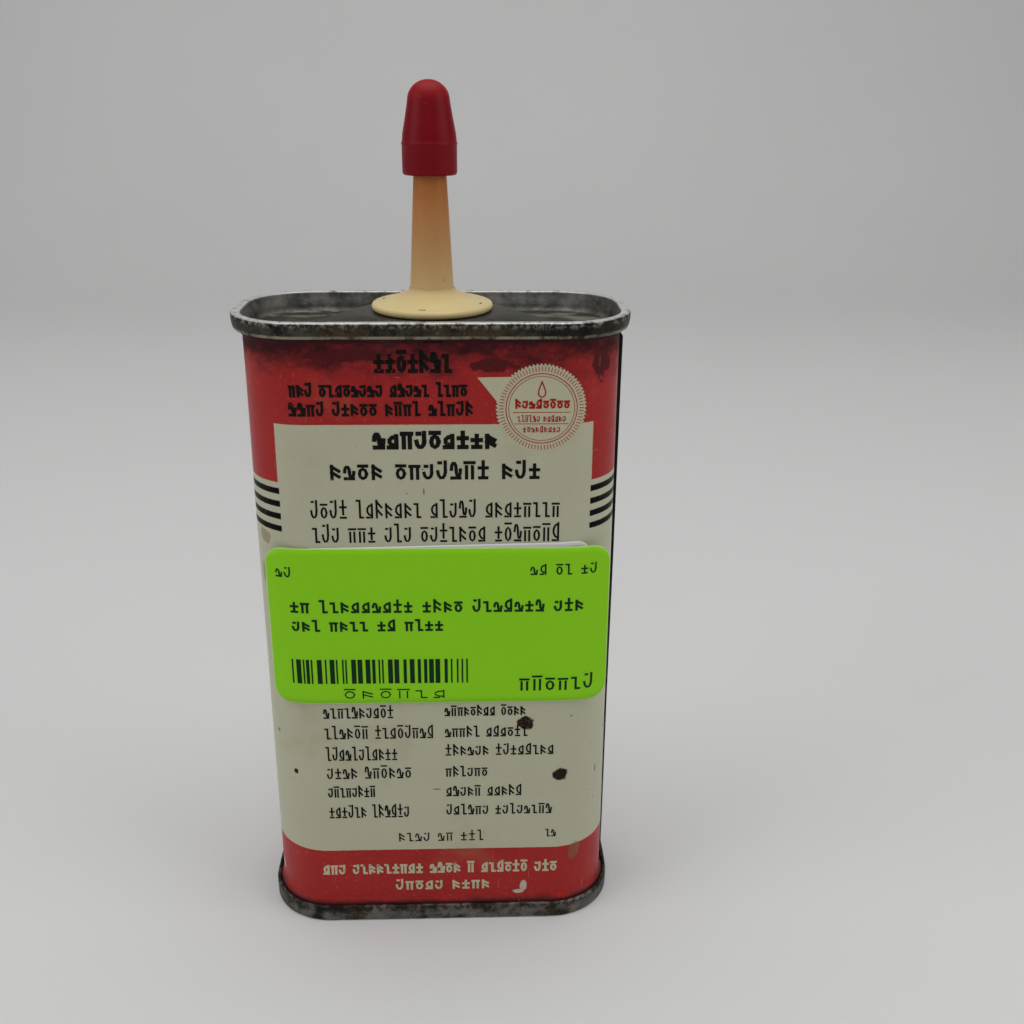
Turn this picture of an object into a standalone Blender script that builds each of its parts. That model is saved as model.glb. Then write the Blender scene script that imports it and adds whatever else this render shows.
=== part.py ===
"""Handy oiler can: a flat tin with double-seamed ends, a plug-in plastic spout and a pull-off tip cap.

The origin is under the middle of the tin, +Z is up, the tin's width runs along X and its printed
front faces -Y. Run with: blender --background --python part.py
"""

import math

import bpy

MM = 0.001

# Driving dimensions of the tin
TIN_HEIGHT = 104.0 * MM
BODY_WIDTH = 56.5 * MM
BODY_DEPTH = 24.2 * MM
CORNER_RADIUS = 9.4 * MM
SHEET = 0.22 * MM
LAYER_GAP = 0.05 * MM

# The double seams that join the two ends to the body
SEAM_PROUD = 1.3 * MM
TOP_RIM_FLARE = 0.25 * MM
TOP_SEAM_HEIGHT = 2.45 * MM
BOTTOM_SEAM_HEIGHT = 3.0 * MM
COMPOUND_THICKNESS = 0.15 * MM
COVER_HOOK_TIP = 1.1 * MM
BODY_HOOK_SHORT = 0.55 * MM
RIM_RADIUS = 0.29 * MM
FLARE_LENGTH = 1.0 * MM

# The lock seam up the right side
RIDGE_HALF_WIDTH = 1.4 * MM
RIDGE_SLOPE = 0.3 * MM
RIDGE_PROUD_TOP = 0.8 * MM
RIDGE_PROUD_BOTTOM = 0.45 * MM
RIDGE_END_MARGIN = 1.3 * MM
RIDGE_RAMP = 0.6 * MM

# The two stamped ends
TOP_SINK = 3.0 * MM
BOTTOM_SINK = 3.5 * MM
PANEL_CORNER = 0.3 * MM
DOME_HALF_WIDTH = 21.0 * MM
DOME_HALF_DEPTH = 10.6 * MM
SEAT_RADIUS = 9.4 * MM
SEAT_DROP = 0.6 * MM
SPOUT_HOLE_RADIUS = 6.25 * MM
BOTTOM_BEAD_INSET = 3.6 * MM
BOTTOM_BEAD_WIDTH = 1.2 * MM
BOTTOM_BEAD_RISE = 0.6 * MM

# The spout, turned about the vertical axis
FLANGE_Z = TIN_HEIGHT - 0.5 * MM
FLANGE_RADIUS = 9.16 * MM
FLANGE_EDGE = 1.15 * MM
FLANGE_CROWN = 2.1 * MM
PLUG_RADIUS = 5.95 * MM
PLUG_BEAD_RADIUS = 6.08 * MM
PLUG_DEPTH = 4.5 * MM
PLUG_WALL = 1.05 * MM
TUBE_FOOT_RADIUS = 3.25 * MM
TUBE_FOOT_Z = 107.4 * MM
TUBE_NECK_RADIUS = 2.46 * MM
TUBE_NECK_Z = 122.5 * MM
TIP_RADIUS = 1.9 * MM
TIP_Z = 132.4 * MM
TIP_BORE = 0.9 * MM
FOOT_BORE = 2.2 * MM

# The tip cap
CAP_BOTTOM_Z = 123.1 * MM
CAP_TOP_Z = 136.1 * MM
COLLAR_RADIUS = 4.0 * MM
COLLAR_LIP_RADIUS = 4.07 * MM
COLLAR_TOP_Z = 127.5 * MM
NOSE_RADIUS = 3.05 * MM
NOSE_Z = 133.3 * MM
CAP_CLEARANCE = 0.25 * MM
CAP_CROWN = 2.7 * MM

# The labels, measured round the wall from the middle of the front
PRICE_LABEL = {"left": -26.2 * MM, "right": 27.3 * MM, "bottom": 42.3 * MM, "top": 69.25 * MM}
PRICE_LABEL_TILT = -0.002
# The price label's stiff ends bend less than the wall's corners and stand off them
PRICE_LABEL_BENDS = (16.5 * MM, 24.3 * MM)
UNDER_LABEL = {"left": -22.0 * MM, "right": 24.4 * MM, "bottom": 46.0 * MM, "top": 69.65 * MM}
UNDER_LABEL_TILT = 0.017
LABEL_CORNER = 2.9 * MM
LABEL_GAP = 0.05 * MM
UNDER_LABEL_THICKNESS = 0.08 * MM
PRICE_LABEL_THICKNESS = 0.1 * MM

# How finely curves are divided
CORNER_STEPS = 5
FLAT_STEPS = 6
FOLD_STEPS = 3
TURN_STEPS = 28
DOME_STEPS = 5

FLAT_HALF_WIDTH = BODY_WIDTH / 2 - CORNER_RADIUS
FLAT_HALF_DEPTH = BODY_DEPTH / 2 - CORNER_RADIUS
FOLD_RADIUS = SHEET + LAYER_GAP
SEAT_TOP_Z = TIN_HEIGHT - SEAT_DROP


def clear_scene():
    for thing in list(bpy.data.objects):
        bpy.data.objects.remove(thing)


def make_collection(name):
    collection = bpy.data.collections.new(name)
    bpy.context.scene.collection.children.link(collection)
    return collection


def make_material(name, colour, roughness, metallic=0.0):
    material = bpy.data.materials.new(name)
    material.use_nodes = True
    shader = material.node_tree.nodes["Principled BSDF"]
    shader.inputs["Base Color"].default_value = (*colour, 1.0)
    shader.inputs["Roughness"].default_value = roughness
    shader.inputs["Metallic"].default_value = metallic
    return material


def make_object(name, points, edges, faces, material, collection):
    mesh = bpy.data.meshes.new(name)
    mesh.from_pydata(points, edges, faces)
    mesh.materials.append(material)
    thing = bpy.data.objects.new(name, mesh)
    collection.objects.link(thing)
    return thing


def smooth(thing, angle=35.0):
    thing.data.shade_smooth()
    thing.data.set_sharp_from_angle(angle=math.radians(angle))


# Outlines: every ring of a sheet has the same number of points, so that rings can be joined


def arc_points(centre, radius, start, end, steps):
    """Points of an arc, with angles in degrees and both ends included."""
    points = []
    for i in range(steps + 1):
        angle = math.radians(start + (end - start) * i / steps)
        points.append((centre[0] + radius * math.cos(angle), centre[1] + radius * math.sin(angle)))
    return points


def flat_points(y, direction):
    """Points inside the long flat side at y, without its ends."""
    return [
        (direction * FLAT_HALF_WIDTH * (2 * i / FLAT_STEPS - 1), y) for i in range(1, FLAT_STEPS)
    ]


def outline(offset, ridge=0.0):
    """The tin's outline moved outward by offset, counter-clockwise from the side seam."""
    half_width = BODY_WIDTH / 2 + offset
    half_depth = BODY_DEPTH / 2 + offset
    radius = CORNER_RADIUS + offset
    foot = RIDGE_HALF_WIDTH + RIDGE_SLOPE
    points = [
        (half_width, -foot),
        (half_width + ridge, -RIDGE_HALF_WIDTH),
        (half_width + ridge, RIDGE_HALF_WIDTH),
        (half_width, foot),
    ]
    points += arc_points((FLAT_HALF_WIDTH, FLAT_HALF_DEPTH), radius, 0, 90, CORNER_STEPS)
    points += flat_points(half_depth, -1)
    points += arc_points((-FLAT_HALF_WIDTH, FLAT_HALF_DEPTH), radius, 90, 180, CORNER_STEPS)
    points.append((-half_width, 0.0))
    points += arc_points((-FLAT_HALF_WIDTH, -FLAT_HALF_DEPTH), radius, 180, 270, CORNER_STEPS)
    points += flat_points(-half_depth, 1)
    points += arc_points((FLAT_HALF_WIDTH, -FLAT_HALF_DEPTH), radius, 270, 360, CORNER_STEPS)
    return points


def oval(half_width, half_depth):
    """An oval with one point on the bearing of each point of the tin's outline."""
    points = []
    for x, y in outline(0.0):
        bearing = math.atan2(y / BODY_DEPTH, x / BODY_WIDTH)
        points.append((half_width * math.cos(bearing), half_depth * math.sin(bearing)))
    return points


def ring(flat, z):
    return [(x, y, z) for x, y in flat]


# Double seams: offsets are outward from the body's wall, depths are inward from the seam's crest


def layer(count):
    """Offset of the middle of a sheet layer, counted inward from the seam's outer wall."""
    return SEAM_PROUD - SHEET / 2 - count * (SHEET + LAYER_GAP)


def cover_fold(seam_height, flare=0.0):
    """Section of an end's rolled edge, from its hook's tip over the rim to its inner wall."""
    fold_depth = seam_height - SHEET / 2 - FOLD_RADIUS
    rim_depth = SHEET / 2 + RIM_RADIUS
    section = [(layer(2), COVER_HOOK_TIP)]
    section += arc_points((layer(1), fold_depth), FOLD_RADIUS, 180, 0, FOLD_STEPS)
    section += arc_points((layer(0) + flare - RIM_RADIUS, rim_depth), RIM_RADIUS, 0, -90, 2)
    section += arc_points((layer(4) + RIM_RADIUS, rim_depth), RIM_RADIUS, -90, -180, 2)
    return section


def panel_edge(sink):
    """Section from the foot of an end's sloping inner wall to its sunk panel."""
    depth = sink + SHEET / 2
    inset = -0.5 * MM
    return [
        (inset, depth - PANEL_CORNER),
        (inset - 0.3 * PANEL_CORNER, depth - 0.3 * PANEL_CORNER),
        (inset - PANEL_CORNER, depth),
    ]


def body_fold(seam_height):
    """Section of the body's edge, from the tip of its hook over the fold and down to the wall."""
    crest = 1.5 * SHEET + 2 * LAYER_GAP + COMPOUND_THICKNESS
    section = [(layer(1), seam_height - BODY_HOOK_SHORT)]
    section += arc_points((layer(2), crest + FOLD_RADIUS), FOLD_RADIUS, 0, -180, FOLD_STEPS)
    section.append((layer(3), seam_height))
    section.append((-SHEET / 2, seam_height + FLARE_LENGTH))
    return section


def make_sheet(name, rings, closed_centre, material, collection):
    """A pressed sheet: rings joined one to the next as an open surface, given the sheet's thickness."""
    count = len(rings[0])
    points = [point for one in rings for point in one]
    faces = []
    for i in range(len(rings) - 1):
        for j in range(count):
            k = (j + 1) % count
            faces.append((i * count + j, i * count + k, (i + 1) * count + k, (i + 1) * count + j))
    if closed_centre:
        last = (len(rings) - 1) * count
        faces.append(tuple(range(last, last + count)))
    thing = make_object(name, points, [], faces, material, collection)
    smooth(thing)
    solidify = thing.modifiers.new("sheet", "SOLIDIFY")
    solidify.thickness = SHEET
    solidify.offset = 0.0
    solidify.use_even_offset = True
    return thing


def ridge_ends():
    """Heights where the lock seam's raised band starts and ends, just clear of the double seams."""
    low = BOTTOM_SEAM_HEIGHT + RIDGE_END_MARGIN
    high = TIN_HEIGHT - TOP_SEAM_HEIGHT - RIDGE_END_MARGIN
    return low, high


def make_can_body(material, collection):
    rings = [ring(outline(offset), depth) for offset, depth in body_fold(BOTTOM_SEAM_HEIGHT)]
    low, high = ridge_ends()
    for z, ridge in (
        (low, 0.0),
        (low + RIDGE_RAMP, RIDGE_PROUD_BOTTOM),
        (high - RIDGE_RAMP, RIDGE_PROUD_TOP),
        (high, 0.0),
    ):
        rings.append(ring(outline(-SHEET / 2, ridge), z))
    for offset, depth in reversed(body_fold(TOP_SEAM_HEIGHT)):
        rings.append(ring(outline(offset), TIN_HEIGHT - depth))
    return make_sheet("can_body", rings, False, material, collection)


def make_top_end(material, collection):
    section = cover_fold(TOP_SEAM_HEIGHT, TOP_RIM_FLARE) + panel_edge(TOP_SINK)
    rings = [ring(outline(offset), TIN_HEIGHT - depth) for offset, depth in section]
    panel_z = TIN_HEIGHT - TOP_SINK - SHEET / 2
    seat_z = SEAT_TOP_Z - SHEET / 2
    for i in range(DOME_STEPS + 1):
        share = i / DOME_STEPS
        rise = share * share * (3 - 2 * share)
        half_width = DOME_HALF_WIDTH + share * (SEAT_RADIUS - DOME_HALF_WIDTH)
        half_depth = DOME_HALF_DEPTH + share * (SEAT_RADIUS - DOME_HALF_DEPTH)
        rings.append(ring(oval(half_width, half_depth), panel_z + rise * (seat_z - panel_z)))
    rings.append(ring(oval(SPOUT_HOLE_RADIUS, SPOUT_HOLE_RADIUS), seat_z))
    return make_sheet("top_end", rings, False, material, collection)


def make_bottom_end(material, collection):
    panel = BOTTOM_SINK + SHEET / 2
    section = cover_fold(BOTTOM_SEAM_HEIGHT) + panel_edge(BOTTOM_SINK)
    bead = -BOTTOM_BEAD_INSET
    section.append((bead, panel))
    section.append((bead - BOTTOM_BEAD_WIDTH / 3, panel + BOTTOM_BEAD_RISE))
    section.append((bead - BOTTOM_BEAD_WIDTH, panel + BOTTOM_BEAD_RISE))
    rings = [ring(outline(offset), depth) for offset, depth in section]
    return make_sheet("bottom_end", rings, True, material, collection)


def make_compound(name, middle_z, material, collection):
    """The sealing ring that lies between a body's fold and the cover rolled over it."""
    rings = [ring(outline(layer(3)), middle_z), ring(outline(layer(1)), middle_z)]
    thing = make_sheet(name, rings, False, material, collection)
    thing.modifiers["sheet"].thickness = COMPOUND_THICKNESS
    return thing


def make_side_seam_solder(material, collection):
    """The strip that fills the lock seam behind its raised band."""
    low, high = ridge_ends()
    low += 2 * RIDGE_RAMP
    high -= 2 * RIDGE_RAMP
    thickness = RIDGE_PROUD_BOTTOM - 3 * LAYER_GAP
    width = 2 * (RIDGE_HALF_WIDTH - SHEET - 2 * LAYER_GAP)
    bpy.ops.mesh.primitive_cube_add(size=1.0)
    thing = bpy.context.object
    thing.name = "side_seam_solder"
    thing.data.name = "side_seam_solder"
    thing.location.x = BODY_WIDTH / 2 - SHEET + LAYER_GAP + thickness / 2
    thing.location.z = (low + high) / 2
    for point in thing.data.vertices:
        point.co.x *= thickness
        point.co.y *= width
        point.co.z *= high - low
    thing.data.materials.append(material)
    for holder in list(thing.users_collection):
        holder.objects.unlink(thing)
    collection.objects.link(thing)
    return thing


# Turned pieces


def make_turned(name, profile, closed, material, collection):
    """A solid turned about the vertical axis from (radius, height) points that run down its outside."""
    points = [(radius, 0.0, z) for radius, z in profile]
    edges = [(i, i + 1) for i in range(len(points) - 1)]
    if closed:
        edges.append((len(points) - 1, 0))
    thing = make_object(name, points, edges, [], material, collection)
    screw = thing.modifiers.new("turn", "SCREW")
    screw.steps = TURN_STEPS
    screw.render_steps = TURN_STEPS
    screw.use_merge_vertices = True
    screw.merge_threshold = 0.00001
    screw.use_smooth_shade = True
    return thing


def spout_profile():
    crown_z = FLANGE_Z + FLANGE_CROWN
    plug_z = SEAT_TOP_Z - SHEET
    floor_z = plug_z - PLUG_DEPTH
    edge = FLANGE_EDGE / 2
    outside = [
        (TIP_RADIUS - 0.2 * MM, TIP_Z),
        (TIP_RADIUS, TIP_Z - 0.3 * MM),
        (TUBE_NECK_RADIUS, TUBE_NECK_Z),
        (TUBE_FOOT_RADIUS, TUBE_FOOT_Z),
        (TUBE_FOOT_RADIUS + 0.15 * MM, crown_z + 1.2 * MM),
        (TUBE_FOOT_RADIUS + 0.45 * MM, crown_z + 0.7 * MM),
        (TUBE_FOOT_RADIUS + 1.05 * MM, crown_z + 0.35 * MM),
        (TUBE_FOOT_RADIUS + 2.0 * MM, crown_z),
        (6.6 * MM, crown_z - 0.45 * MM),
        (7.9 * MM, crown_z - 0.8 * MM),
    ]
    outside += arc_points((FLANGE_RADIUS - edge, FLANGE_Z + edge), edge, 75, -90, 4)
    plug = [
        (PLUG_RADIUS, FLANGE_Z),
        (PLUG_RADIUS, plug_z - 0.3 * MM),
        (PLUG_BEAD_RADIUS, plug_z - 0.6 * MM),
        (PLUG_BEAD_RADIUS, plug_z - 0.9 * MM),
        (PLUG_RADIUS - 0.1 * MM, plug_z - 1.4 * MM),
        (PLUG_RADIUS - 0.3 * MM, floor_z),
    ]
    inside = [
        (PLUG_RADIUS - PLUG_WALL, floor_z),
        (PLUG_RADIUS - PLUG_WALL, FLANGE_Z - 0.2 * MM),
        (FOOT_BORE + 0.3 * MM, crown_z - 0.2 * MM),
        (FOOT_BORE, TUBE_FOOT_Z),
        (TUBE_NECK_RADIUS - 0.9 * MM, TUBE_NECK_Z),
        (TIP_BORE, TIP_Z),
    ]
    return outside + plug + inside


def tube_radius(z):
    """Outer radius of the spout between its neck and its tip."""
    share = (z - TUBE_NECK_Z) / (TIP_Z - TUBE_NECK_Z)
    return TUBE_NECK_RADIUS + share * (TIP_RADIUS - TUBE_NECK_RADIUS)


def cap_profile():
    """The cap from its nose down to its mouth, and back up inside to the middle of its roof."""
    nose_height = CAP_TOP_Z - NOSE_Z
    outside = []
    for degrees in (90, 66, 44, 24, 8):
        angle = math.radians(degrees)
        outside.append((NOSE_RADIUS * math.cos(angle), NOSE_Z + nose_height * math.sin(angle)))
    outside[0] = (0.0, CAP_TOP_Z)
    outside += [
        (NOSE_RADIUS + 0.1 * MM, NOSE_Z - 0.6 * MM),
        (3.5 * MM, COLLAR_TOP_Z + 3.2 * MM),
        (3.86 * MM, COLLAR_TOP_Z + 1.4 * MM),
        (3.96 * MM, COLLAR_TOP_Z + 0.15 * MM),
        (COLLAR_LIP_RADIUS, COLLAR_TOP_Z),
        (COLLAR_LIP_RADIUS, COLLAR_TOP_Z - 0.3 * MM),
        (COLLAR_RADIUS, CAP_BOTTOM_Z + 0.3 * MM),
        (COLLAR_RADIUS - 0.15 * MM, CAP_BOTTOM_Z),
    ]
    mouth_z = CAP_BOTTOM_Z + 0.4 * MM
    roof_z = CAP_TOP_Z - CAP_CROWN
    inside = [
        (tube_radius(mouth_z) + CAP_CLEARANCE + 0.2 * MM, CAP_BOTTOM_Z),
        (tube_radius(mouth_z) + CAP_CLEARANCE, mouth_z),
        (tube_radius(TIP_Z) + CAP_CLEARANCE, TIP_Z + 0.2 * MM),
        (tube_radius(TIP_Z) - 0.5 * MM, roof_z),
        (0.0, roof_z),
    ]
    return outside + inside


# Labels


def wrapped(distance, offset, bends):
    """The point of a label at a distance from the middle of the front, bent by a radius on each side."""
    side = 1 if distance >= 0 else -1
    past = abs(distance) - FLAT_HALF_WIDTH
    if past <= 0:
        return (distance, -(BODY_DEPTH / 2 + offset))
    bend = bends[0] if side < 0 else bends[1]
    angle = past / bend
    reach = bend + offset
    return (
        side * (FLAT_HALF_WIDTH + reach * math.sin(angle)),
        -(BODY_DEPTH / 2 - bend + reach * math.cos(angle)),
    )


def label_columns(left, right):
    """Distances of a label's columns, the same for both labels so that one lies flat on the other."""
    columns = set()
    for place in (PRICE_LABEL, UNDER_LABEL):
        for share in (0.0, 0.12, 0.35, 0.65, 1.0):
            columns.add(place["left"] + share * LABEL_CORNER)
            columns.add(place["right"] - share * LABEL_CORNER)
    corner_step = CORNER_RADIUS * math.pi / 2 / CORNER_STEPS
    for i in range(CORNER_STEPS + 1):
        for side in (-1, 1):
            columns.add(side * (FLAT_HALF_WIDTH + i * corner_step))
    columns.add(0.0)
    return sorted(c for c in columns if left <= c <= right)


def make_label(name, place, tilt, bends, layer, material, collection):
    """A label with rounded corners, wrapped on the wall; it climbs by tilt for each unit to the right."""
    points = []
    gap, thickness = layer
    middle = (place["left"] + place["right"]) / 2
    for column in label_columns(place["left"], place["right"]):
        x, y = wrapped(column, gap, bends)
        end = min(column - place["left"], place["right"] - column, LABEL_CORNER)
        inset = LABEL_CORNER - math.sqrt(LABEL_CORNER**2 - (LABEL_CORNER - end) ** 2)
        climb = tilt * (column - middle)
        points.append((x, y, place["bottom"] + inset + climb))
        points.append((x, y, place["top"] - inset + climb))
    faces = [(i, i + 2, i + 3, i + 1) for i in range(0, len(points) - 2, 2)]
    thing = make_object(name, points, [], faces, material, collection)
    smooth(thing)
    solidify = thing.modifiers.new("paper", "SOLIDIFY")
    solidify.thickness = thickness
    solidify.offset = 1.0
    solidify.use_even_offset = True
    return thing


def build():
    clear_scene()
    parts = make_collection("handy_oiler_can")
    printed = make_material("printed_tinplate", (0.29, 0.28, 0.21), 0.45, 0.0)
    tinplate = make_material("tinplate", (0.20, 0.19, 0.16), 0.4, 1.0)
    solder = make_material("solder", (0.35, 0.35, 0.35), 0.5, 1.0)
    compound = make_material("sealing_compound", (0.10, 0.09, 0.07), 0.8)
    natural = make_material("natural_plastic", (0.33, 0.15, 0.05), 0.35)
    red = make_material("red_plastic", (0.12, 0.008, 0.012), 0.35)
    film = make_material("label_film", (0.38, 0.40, 0.33), 0.5)
    green = make_material("green_paper", (0.15, 0.38, 0.01), 0.6)

    make_can_body(printed, parts)
    make_side_seam_solder(solder, parts)
    make_top_end(tinplate, parts)
    make_bottom_end(tinplate, parts)
    compound_depth = SHEET + LAYER_GAP + COMPOUND_THICKNESS / 2
    make_compound("top_seam_compound", TIN_HEIGHT - compound_depth, compound, parts)
    make_compound("bottom_seam_compound", compound_depth, compound, parts)
    under_bends = (CORNER_RADIUS, CORNER_RADIUS)
    under_layer = (LABEL_GAP, UNDER_LABEL_THICKNESS)
    make_label("under_label", UNDER_LABEL, UNDER_LABEL_TILT, under_bends, under_layer, film, parts)
    price_layer = (2 * LABEL_GAP + UNDER_LABEL_THICKNESS, PRICE_LABEL_THICKNESS)
    make_label(
        "price_label", PRICE_LABEL, PRICE_LABEL_TILT, PRICE_LABEL_BENDS, price_layer, green, parts
    )

    spout = make_turned("spout", spout_profile(), True, natural, parts)
    cap = make_turned("tip_cap", cap_profile(), False, red, parts)
    spout_axis = bpy.data.objects.new("spout_axis", None)
    parts.objects.link(spout_axis)
    spout.parent = spout_axis
    cap.parent = spout


build()
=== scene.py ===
"""The looks of a handy oiler can: a worn, printed tin with a plastic spout, a red tip cap and a shop label.

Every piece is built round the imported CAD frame. Lengths are in metres, MM turns millimetres into them.
Places on the wall are (around, up): around is the distance along the wall from the middle of the
printed front, towards the right side seam, and up is the height above the surface the tin stands on.
"""

import math
import random

import bpy
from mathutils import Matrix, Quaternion, Vector, noise


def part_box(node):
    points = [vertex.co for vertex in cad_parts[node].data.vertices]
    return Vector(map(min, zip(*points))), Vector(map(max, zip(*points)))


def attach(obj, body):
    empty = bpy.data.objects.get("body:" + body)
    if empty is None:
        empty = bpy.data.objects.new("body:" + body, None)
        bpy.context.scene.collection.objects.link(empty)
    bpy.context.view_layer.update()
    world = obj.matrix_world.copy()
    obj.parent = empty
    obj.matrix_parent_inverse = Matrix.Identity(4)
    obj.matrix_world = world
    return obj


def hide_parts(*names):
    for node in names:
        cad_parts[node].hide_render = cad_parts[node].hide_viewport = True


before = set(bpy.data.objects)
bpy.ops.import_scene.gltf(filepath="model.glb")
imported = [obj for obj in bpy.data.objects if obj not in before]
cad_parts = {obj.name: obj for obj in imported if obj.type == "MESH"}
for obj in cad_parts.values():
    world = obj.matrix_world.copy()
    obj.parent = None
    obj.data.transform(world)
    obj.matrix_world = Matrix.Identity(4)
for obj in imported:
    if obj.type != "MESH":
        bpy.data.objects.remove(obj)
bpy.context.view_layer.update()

MM = 0.001

# ---- measures from the frame ----

bottom_low, bottom_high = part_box("bottom_end")
spout_low, spout_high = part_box("spout")
cap_low, cap_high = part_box("tip_cap")

SHEET = 0.22 * MM
LAYER_GAP = 0.05 * MM
SEAM_PROUD = 1.3 * MM
TOP_FLARE = 0.25 * MM
TOP_SEAM = 2.45 * MM
BOTTOM_SEAM = 3.0 * MM
FOLD = SHEET + LAYER_GAP
TIN_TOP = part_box("top_end")[1].z
TIN_FOOT = bottom_low.z
TIN_MIDDLE = (TIN_FOOT + TIN_TOP) / 2
# Where the plain wall meets its two double seams, in millimetres
WALL_TOP = (TIN_TOP - TOP_SEAM) / MM
WALL_FOOT = (TIN_FOOT + BOTTOM_SEAM) / MM
HALF_WIDTH = (bottom_high.x - bottom_low.x) / 2 - SEAM_PROUD
HALF_DEPTH = (bottom_high.y - bottom_low.y) / 2 - SEAM_PROUD
CORNER = 9.4 * MM
FLAT_X = HALF_WIDTH - CORNER
FLAT_Y = HALF_DEPTH - CORNER
BEND = CORNER * math.pi / 2
SIDE_MIDDLE = FLAT_X + BEND + FLAT_Y
GIRTH = 4 * SIDE_MIDDLE

# The lock seam on the right side
RIDGE_HALF = 1.4 * MM
RIDGE_SLOPE = 0.35 * MM
RIDGE_PROUD_TOP = 0.8 * MM
RIDGE_PROUD_BOTTOM = 0.45 * MM
RIDGE_MARGIN = 0.9 * MM
RIDGE_RAMP = 0.8 * MM

# The lid
TOP_SINK = 3.0 * MM
BOTTOM_SINK = 3.5 * MM
DOME = (21.0 * MM, 10.6 * MM)
SEAT_RADIUS = 9.4 * MM
SEAT_Z = TIN_TOP - 0.6 * MM
HOLE_RADIUS = 6.25 * MM

# The spout's flange and the cap's collar
FLANGE_Z = spout_high.z - 28.9 * MM
FLANGE_RADIUS = (spout_high.x - spout_low.x) / 2
FLANGE_EDGE = 0.575 * MM
COLLAR_Z = cap_low.z + 4.4 * MM

# ---- mesh helpers ----


def put_in_scene(name, data):
    thing = bpy.data.objects.new(name, data)
    bpy.context.scene.collection.objects.link(thing)
    return thing


def new_mesh(name, points, faces, material):
    mesh = bpy.data.meshes.new(name)
    mesh.from_pydata([tuple(p) for p in points], [], faces)
    mesh.materials.append(material)
    mesh.shade_smooth()
    return put_in_scene(name, mesh)


def new_piece(name, points, faces, material, body, stands_for=(), smooth_angle=40.0):
    """A mesh object that rides on a CAD body, with each CAD node it stands for hidden."""
    piece = new_mesh(name, points, faces, material)
    piece.data.set_sharp_from_angle(angle=math.radians(smooth_angle))
    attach(piece, body)
    if stands_for:
        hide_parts(*stands_for)
    return piece


def clamp(value):
    return min(1.0, max(0.0, value))


def ease(share):
    """A smooth rise from 0 to 1 as share goes from 0 to 1."""
    return share * share * (3 - 2 * share)


def arc(centre, radius, start, end, steps, rise=None):
    """Points of an arc, or of an oval as high as rise, with angles in degrees and both ends included."""
    rise = rise or radius
    angles = [math.radians(start + (end - start) * i / steps) for i in range(steps + 1)]
    return [(centre[0] + radius * math.cos(a), centre[1] + rise * math.sin(a)) for a in angles]


def circle(centre, radius, count):
    return arc(centre, radius, 0, 360, count)


def around_wall(around, offset):
    """(x, y) of a point on the wall, moved outward by offset."""
    around = (around + GIRTH / 2) % GIRTH - GIRTH / 2
    side = 1 if around >= 0 else -1
    far = abs(around)
    back = 1
    if far > SIDE_MIDDLE:
        far = 2 * SIDE_MIDDLE - far
        back = -1
    if far <= FLAT_X:
        x, y = far, -(HALF_DEPTH + offset)
    elif far <= FLAT_X + BEND:
        angle = (far - FLAT_X) / CORNER
        reach = CORNER + offset
        x, y = FLAT_X + reach * math.sin(angle), -(FLAT_Y + reach * math.cos(angle))
    else:
        x, y = HALF_WIDTH + offset, -(SIDE_MIDDLE - far)
    return side * x, back * y


def wall_columns(flat=0.9 * MM, bend_steps=18):
    """Distances round the wall of a fine ring's points, starting at the side seam's foot."""
    half = [0.0]
    for length, steps in ((FLAT_X, max(2, round(FLAT_X / flat))), (BEND, bend_steps), (FLAT_Y, 4)):
        start = half[-1]
        half += [start + length * i / steps for i in range(1, steps + 1)]
    half += [SIDE_MIDDLE - RIDGE_HALF, SIDE_MIDDLE - RIDGE_HALF - RIDGE_SLOPE]
    half += [SIDE_MIDDLE - RIDGE_HALF * 0.6, SIDE_MIDDLE - RIDGE_HALF - RIDGE_SLOPE / 2]
    quarter = sorted(set(round(c, 9) for c in half))
    side = quarter + [2 * SIDE_MIDDLE - c for c in reversed(quarter[:-1])]
    return side + [-c for c in reversed(side[1:-1])]


COLUMNS = wall_columns()


def ridge_share(around):
    """How far the side seam's raised band stands at a place round the wall, from 0 to 1."""
    past = abs(around - SIDE_MIDDLE) - RIDGE_HALF
    return ease(clamp(1 - past / RIDGE_SLOPE))


def wobble(x, y, z, scale, seed):
    """Smooth noise between about -1 and 1, with one bump per scale."""
    return noise.noise(Vector((x / scale + seed, y / scale - seed, z / scale + 2 * seed)))


def wall_drift(x, y, z):
    """How far the pressed wall strays outward; nothing close to the double seams."""
    ends = min(z - TIN_FOOT - BOTTOM_SEAM, TIN_TOP - TOP_SEAM - z)
    return 0.07 * MM * clamp(ends / (6 * MM)) * wobble(x, y, z, 26 * MM, 4.0)


def rim_dents(x, y, z):
    """How far a rolled rim strays outward."""
    return 0.05 * MM * wobble(x, y, z, 6 * MM, 2.0) + 0.03 * MM * wobble(x, y, z, 2 * MM, 6.0)


def on_wall(around, up, offset):
    """The point at a place on the wall, offset outward from the wall as it really runs."""
    x, y = around_wall(around, 0.0)
    return (*around_wall(around, offset + wall_drift(x, y, up)), up)


def loft(rings, closed_end=False):
    """Points and faces of rings joined one to the next."""
    count = len(rings[0])
    points = [p for one in rings for p in one]
    faces = []
    for i in range(len(rings) - 1):
        for j in range(count):
            k = (j + 1) % count
            faces.append((i * count + j, i * count + k, (i + 1) * count + k, (i + 1) * count + j))
    if closed_end:
        start = (len(rings) - 1) * count
        faces.append(tuple(range(start, start + count)))
    return points, faces


def bar_faces(start, count):
    """Faces of a bar through count four-point sections, with both ends closed."""
    faces = []
    for i in range(count - 1):
        for k in range(4):
            a, b = start + 4 * i + k, start + 4 * i + (k + 1) % 4
            faces.append((a, a + 4, b + 4, b))
    end = start + 4 * (count - 1)
    return faces + [tuple(range(start, start + 4)), tuple(range(end + 3, end - 1, -1))]


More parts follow.
